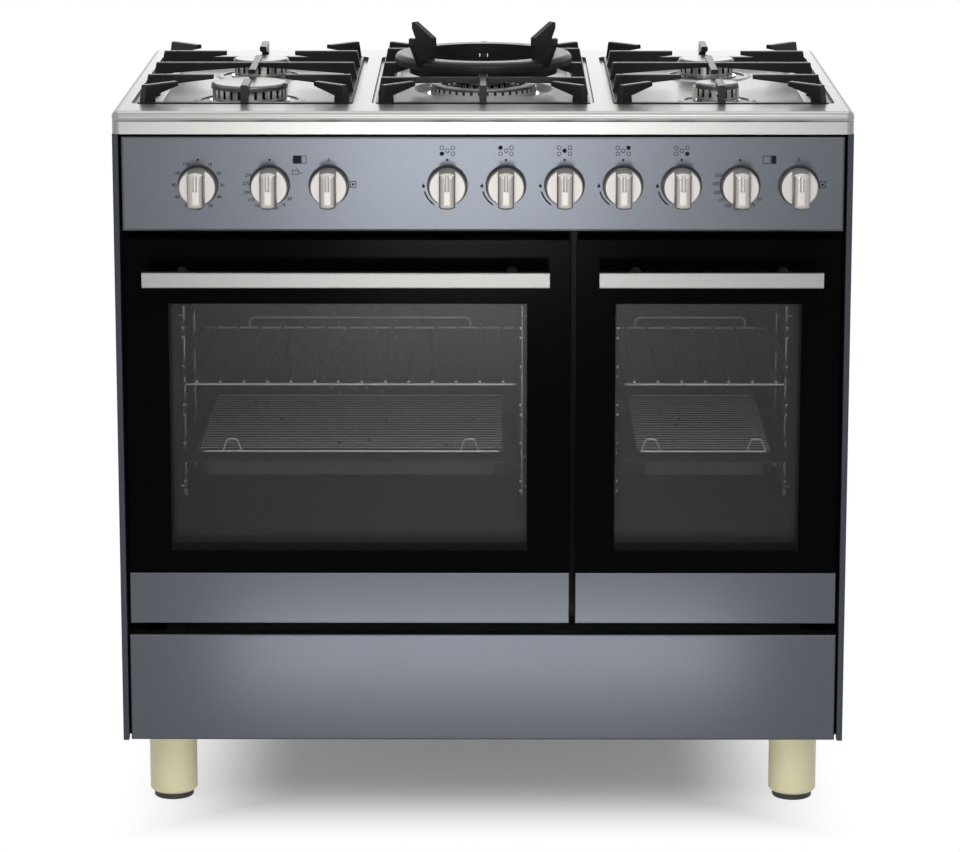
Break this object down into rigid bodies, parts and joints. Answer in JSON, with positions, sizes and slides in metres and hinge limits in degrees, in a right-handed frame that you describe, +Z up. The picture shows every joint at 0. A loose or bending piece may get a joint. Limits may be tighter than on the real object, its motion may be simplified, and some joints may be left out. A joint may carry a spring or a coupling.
{
  "type": "range cooker",
  "caption": "Freestanding range cooker: gas hob with cast pan supports and a wok ring over two drop-door ovens and a storage drawer, on round legs, with rotary knobs.",
  "frame": {"origin": "bottom centre of the whole cooker's box, handles included, on the floor", "axes": "+X to the viewer's right, the front faces -Y, +Z up"},
  "size_m": [0.9, 0.651, 0.952],
  "materials": {
    "grey_paint": "satin blue-grey metallic paint on steel",
    "brushed_steel": "fine brushed stainless steel",
    "handle_aluminium": "satin anodised bar",
    "knob_satin": "satin silver, warm",
    "black_glass": "toughened glass, printed black round the window",
    "clear_glass": "heat-resisting inner pane",
    "black_enamel": "gloss black vitreous enamel",
    "oven_enamel": "grey-black speckled enamel",
    "chrome_wire": "bright chromed wire",
    "cast_iron": "matt black enamelled casting",
    "burner_alloy": "polished die casting",
    "cap_enamel": "polished burner cap",
    "galvanised": "galvanised sheet",
    "tap_brass": "machined brass",
    "gas_pipe": "drawn tube",
    "mineral_wool": "loose mineral fibre",
    "seal": "woven glass seal over rubber",
    "leg_cream": "cream satin lacquer",
    "black_plastic": "moulded black plastic",
    "element_steel": "oxidised steel sheath",
    "motor_steel": "plated pressed steel",
    "probe_ceramic": "glazed ceramic"
  },
  "bodies": {
    "cooker_body": {"back_panel": "galvanised", "base_tray": "galvanised", "burner_caps": "cap_enamel", "burner_crowns": "burner_alloy", "burner_cups": "burner_alloy", "burner_probes": "probe_ceramic", "case_screws": "galvanised", "control_panel": "grey_paint", "fan_cover": "oven_enamel", "fan_motor": "motor_steel", "front_frame": "black_enamel", "gas_pipework": "gas_pipe", "gas_valves": "tap_brass", "heating_elements": "element_steel", "hinge_brackets": "galvanised", "hob_top": "brushed_steel", "knob_bezels": "black_plastic", "legs": "leg_cream", "levelling_feet": "black_plastic", "oven_cavities": "oven_enamel", "oven_gaskets": "seal", "oven_insulation": "mineral_wool", "oven_switches": "black_plastic", "roasting_trays": "oven_enamel", "shelf_ladders": "chrome_wire", "side_panels": "grey_paint", "terminal_box": "black_plastic", "wire_shelves": "chrome_wire"},
    "main_door": {"main_door_glass": "black_glass", "main_door_strip": "grey_paint", "main_door_liner": "black_enamel", "main_door_inner_glass": "clear_glass", "main_door_handle": "handle_aluminium"},
    "side_door": {"side_door_glass": "black_glass", "side_door_strip": "grey_paint", "side_door_liner": "black_enamel", "side_door_inner_glass": "clear_glass", "side_door_handle": "handle_aluminium"},
    "storage_drawer": {"drawer_front": "grey_paint", "drawer_box": "galvanised"},
    "oven_fan": {"fan_impeller": "motor_steel"},
    "left_grid": {"left_pan_support": "cast_iron"},
    "centre_grid": {"centre_pan_support": "cast_iron"},
    "right_grid": {"right_pan_support": "cast_iron"},
    "wok_stand": {"wok_ring": "cast_iron"},
    "front_left_tap": {"front_left_gas_spindle": "motor_steel"},
    "front_left_knob": {"front_left_gas_knob": "knob_satin"},
    "rear_left_tap": {"rear_left_gas_spindle": "motor_steel"},
    "rear_left_knob": {"rear_left_gas_knob": "knob_satin"},
    "wok_tap": {"wok_gas_spindle": "motor_steel"},
    "wok_knob": {"wok_gas_knob": "knob_satin"},
    "rear_right_tap": {"rear_right_gas_spindle": "motor_steel"},
    "rear_right_knob": {"rear_right_gas_knob": "knob_satin"},
    "front_right_tap": {"front_right_gas_spindle": "motor_steel"},
    "front_right_knob": {"front_right_gas_knob": "knob_satin"},
    "timer": {"timer_knob": "knob_satin"},
    "main_thermostat": {"main_thermostat_knob": "knob_satin"},
    "main_selector": {"main_selector_knob": "knob_satin"},
    "side_thermostat": {"side_thermostat_knob": "knob_satin"},
    "side_selector": {"side_selector_knob": "knob_satin"}
  },
  "joints": [
    {"name": "main_door_hinge", "type": "hinge", "parent": "cooker_body", "child": "main_door", "pos_m": [0, -0.2485, 0.256], "axis": [1, 0, 0], "range_deg": [0, 90], "stiffness_Nm_per_rad": 9, "springref_deg": -20.05},
    {"name": "side_door_hinge", "type": "hinge", "parent": "cooker_body", "child": "side_door", "pos_m": [0, -0.2485, 0.256], "axis": [1, 0, 0], "range_deg": [0, 90], "stiffness_Nm_per_rad": 5.5, "springref_deg": -20.05},
    {"name": "drawer_slide", "type": "slide", "parent": "cooker_body", "child": "storage_drawer", "axis": [0, -1, 0], "range_m": [0, 0.33]},
    {"name": "oven_fan_spin", "type": "hinge", "parent": "cooker_body", "child": "oven_fan", "pos_m": [-0.1653, 0, 0.49575], "axis": [0, 1, 0], "continuous": true},
    {"name": "left_pan_support_lift", "type": "slide", "parent": "cooker_body", "child": "left_grid", "axis": [0, 0, 1], "range_m": [0, 0.12]},
    {"name": "centre_pan_support_lift", "type": "slide", "parent": "cooker_body", "child": "centre_grid", "axis": [0, 0, 1], "range_m": [0, 0.12]},
    {"name": "right_pan_support_lift", "type": "slide", "parent": "cooker_body", "child": "right_grid", "axis": [0, 0, 1], "range_m": [0, 0.12]},
    {"name": "wok_ring_lift", "type": "slide", "parent": "centre_grid", "child": "wok_stand", "axis": [0, 0, 1], "range_m": [0, 0.12]},
    {"name": "front_left_tap_push", "type": "slide", "parent": "cooker_body", "child": "front_left_tap", "axis": [0, 1, 0], "range_m": [0, 0.004], "stiffness_N_per_m": 600, "springref_m": -0.004},
    {"name": "front_left_tap_turn", "type": "hinge", "parent": "front_left_tap", "child": "front_left_knob", "pos_m": [-0.043, 0, 0.797], "axis": [0, -1, 0], "range_deg": [0, 210]},
    {"name": "rear_left_tap_push", "type": "slide", "parent": "cooker_body", "child": "rear_left_tap", "axis": [0, 1, 0], "range_m": [0, 0.004], "stiffness_N_per_m": 600, "springref_m": -0.004},
    {"name": "rear_left_tap_turn", "type": "hinge", "parent": "rear_left_tap", "child": "rear_left_knob", "pos_m": [0.0281, 0, 0.797], "axis": [0, -1, 0], "range_deg": [0, 210]},
    {"name": "wok_tap_push", "type": "slide", "parent": "cooker_body", "child": "wok_tap", "axis": [0, 1, 0], "range_m": [0, 0.004], "stiffness_N_per_m": 600, "springref_m": -0.004},
    {"name": "wok_tap_turn", "type": "hinge", "parent": "wok_tap", "child": "wok_knob", "pos_m": [0.0992, 0, 0.797], "axis": [0, -1, 0], "range_deg": [0, 210]},
    {"name": "rear_right_tap_push", "type": "slide", "parent": "cooker_body", "child": "rear_right_tap", "axis": [0, 1, 0], "range_m": [0, 0.004], "stiffness_N_per_m": 600, "springref_m": -0.004},
    {"name": "rear_right_tap_turn", "type": "hinge", "parent": "rear_right_tap", "child": "rear_right_knob", "pos_m": [0.1703, 0, 0.797], "axis": [0, -1, 0], "range_deg": [0, 210]},
    {"name": "front_right_tap_push", "type": "slide", "parent": "cooker_body", "child": "front_right_tap", "axis": [0, 1, 0], "range_m": [0, 0.004], "stiffness_N_per_m": 600, "springref_m": -0.004},
    {"name": "front_right_tap_turn", "type": "hinge", "parent": "front_right_tap", "child": "front_right_knob", "pos_m": [0.2414, 0, 0.797], "axis": [0, -1, 0], "range_deg": [0, 210]},
    {"name": "timer_turn", "type": "hinge", "parent": "cooker_body", "child": "timer", "pos_m": [-0.346, 0, 0.797], "axis": [0, 1, 0], "range_deg": [0, 330]},
    {"name": "main_thermostat_turn", "type": "hinge", "parent": "cooker_body", "child": "main_thermostat", "pos_m": [-0.259, 0, 0.797], "axis": [0, 1, 0], "range_deg": [0, 285]},
    {"name": "main_selector_turn", "type": "hinge", "parent": "cooker_body", "child": "main_selector", "pos_m": [-0.187, 0, 0.797], "axis": [0, 1, 0], "continuous": true},
    {"name": "side_thermostat_turn", "type": "hinge", "parent": "cooker_body", "child": "side_thermostat", "pos_m": [0.3125, 0, 0.797], "axis": [0, 1, 0], "range_deg": [0, 285]},
    {"name": "side_selector_turn", "type": "hinge", "parent": "cooker_body", "child": "side_selector", "pos_m": [0.3836, 0, 0.797], "axis": [0, 1, 0], "continuous": true}
  ]
}
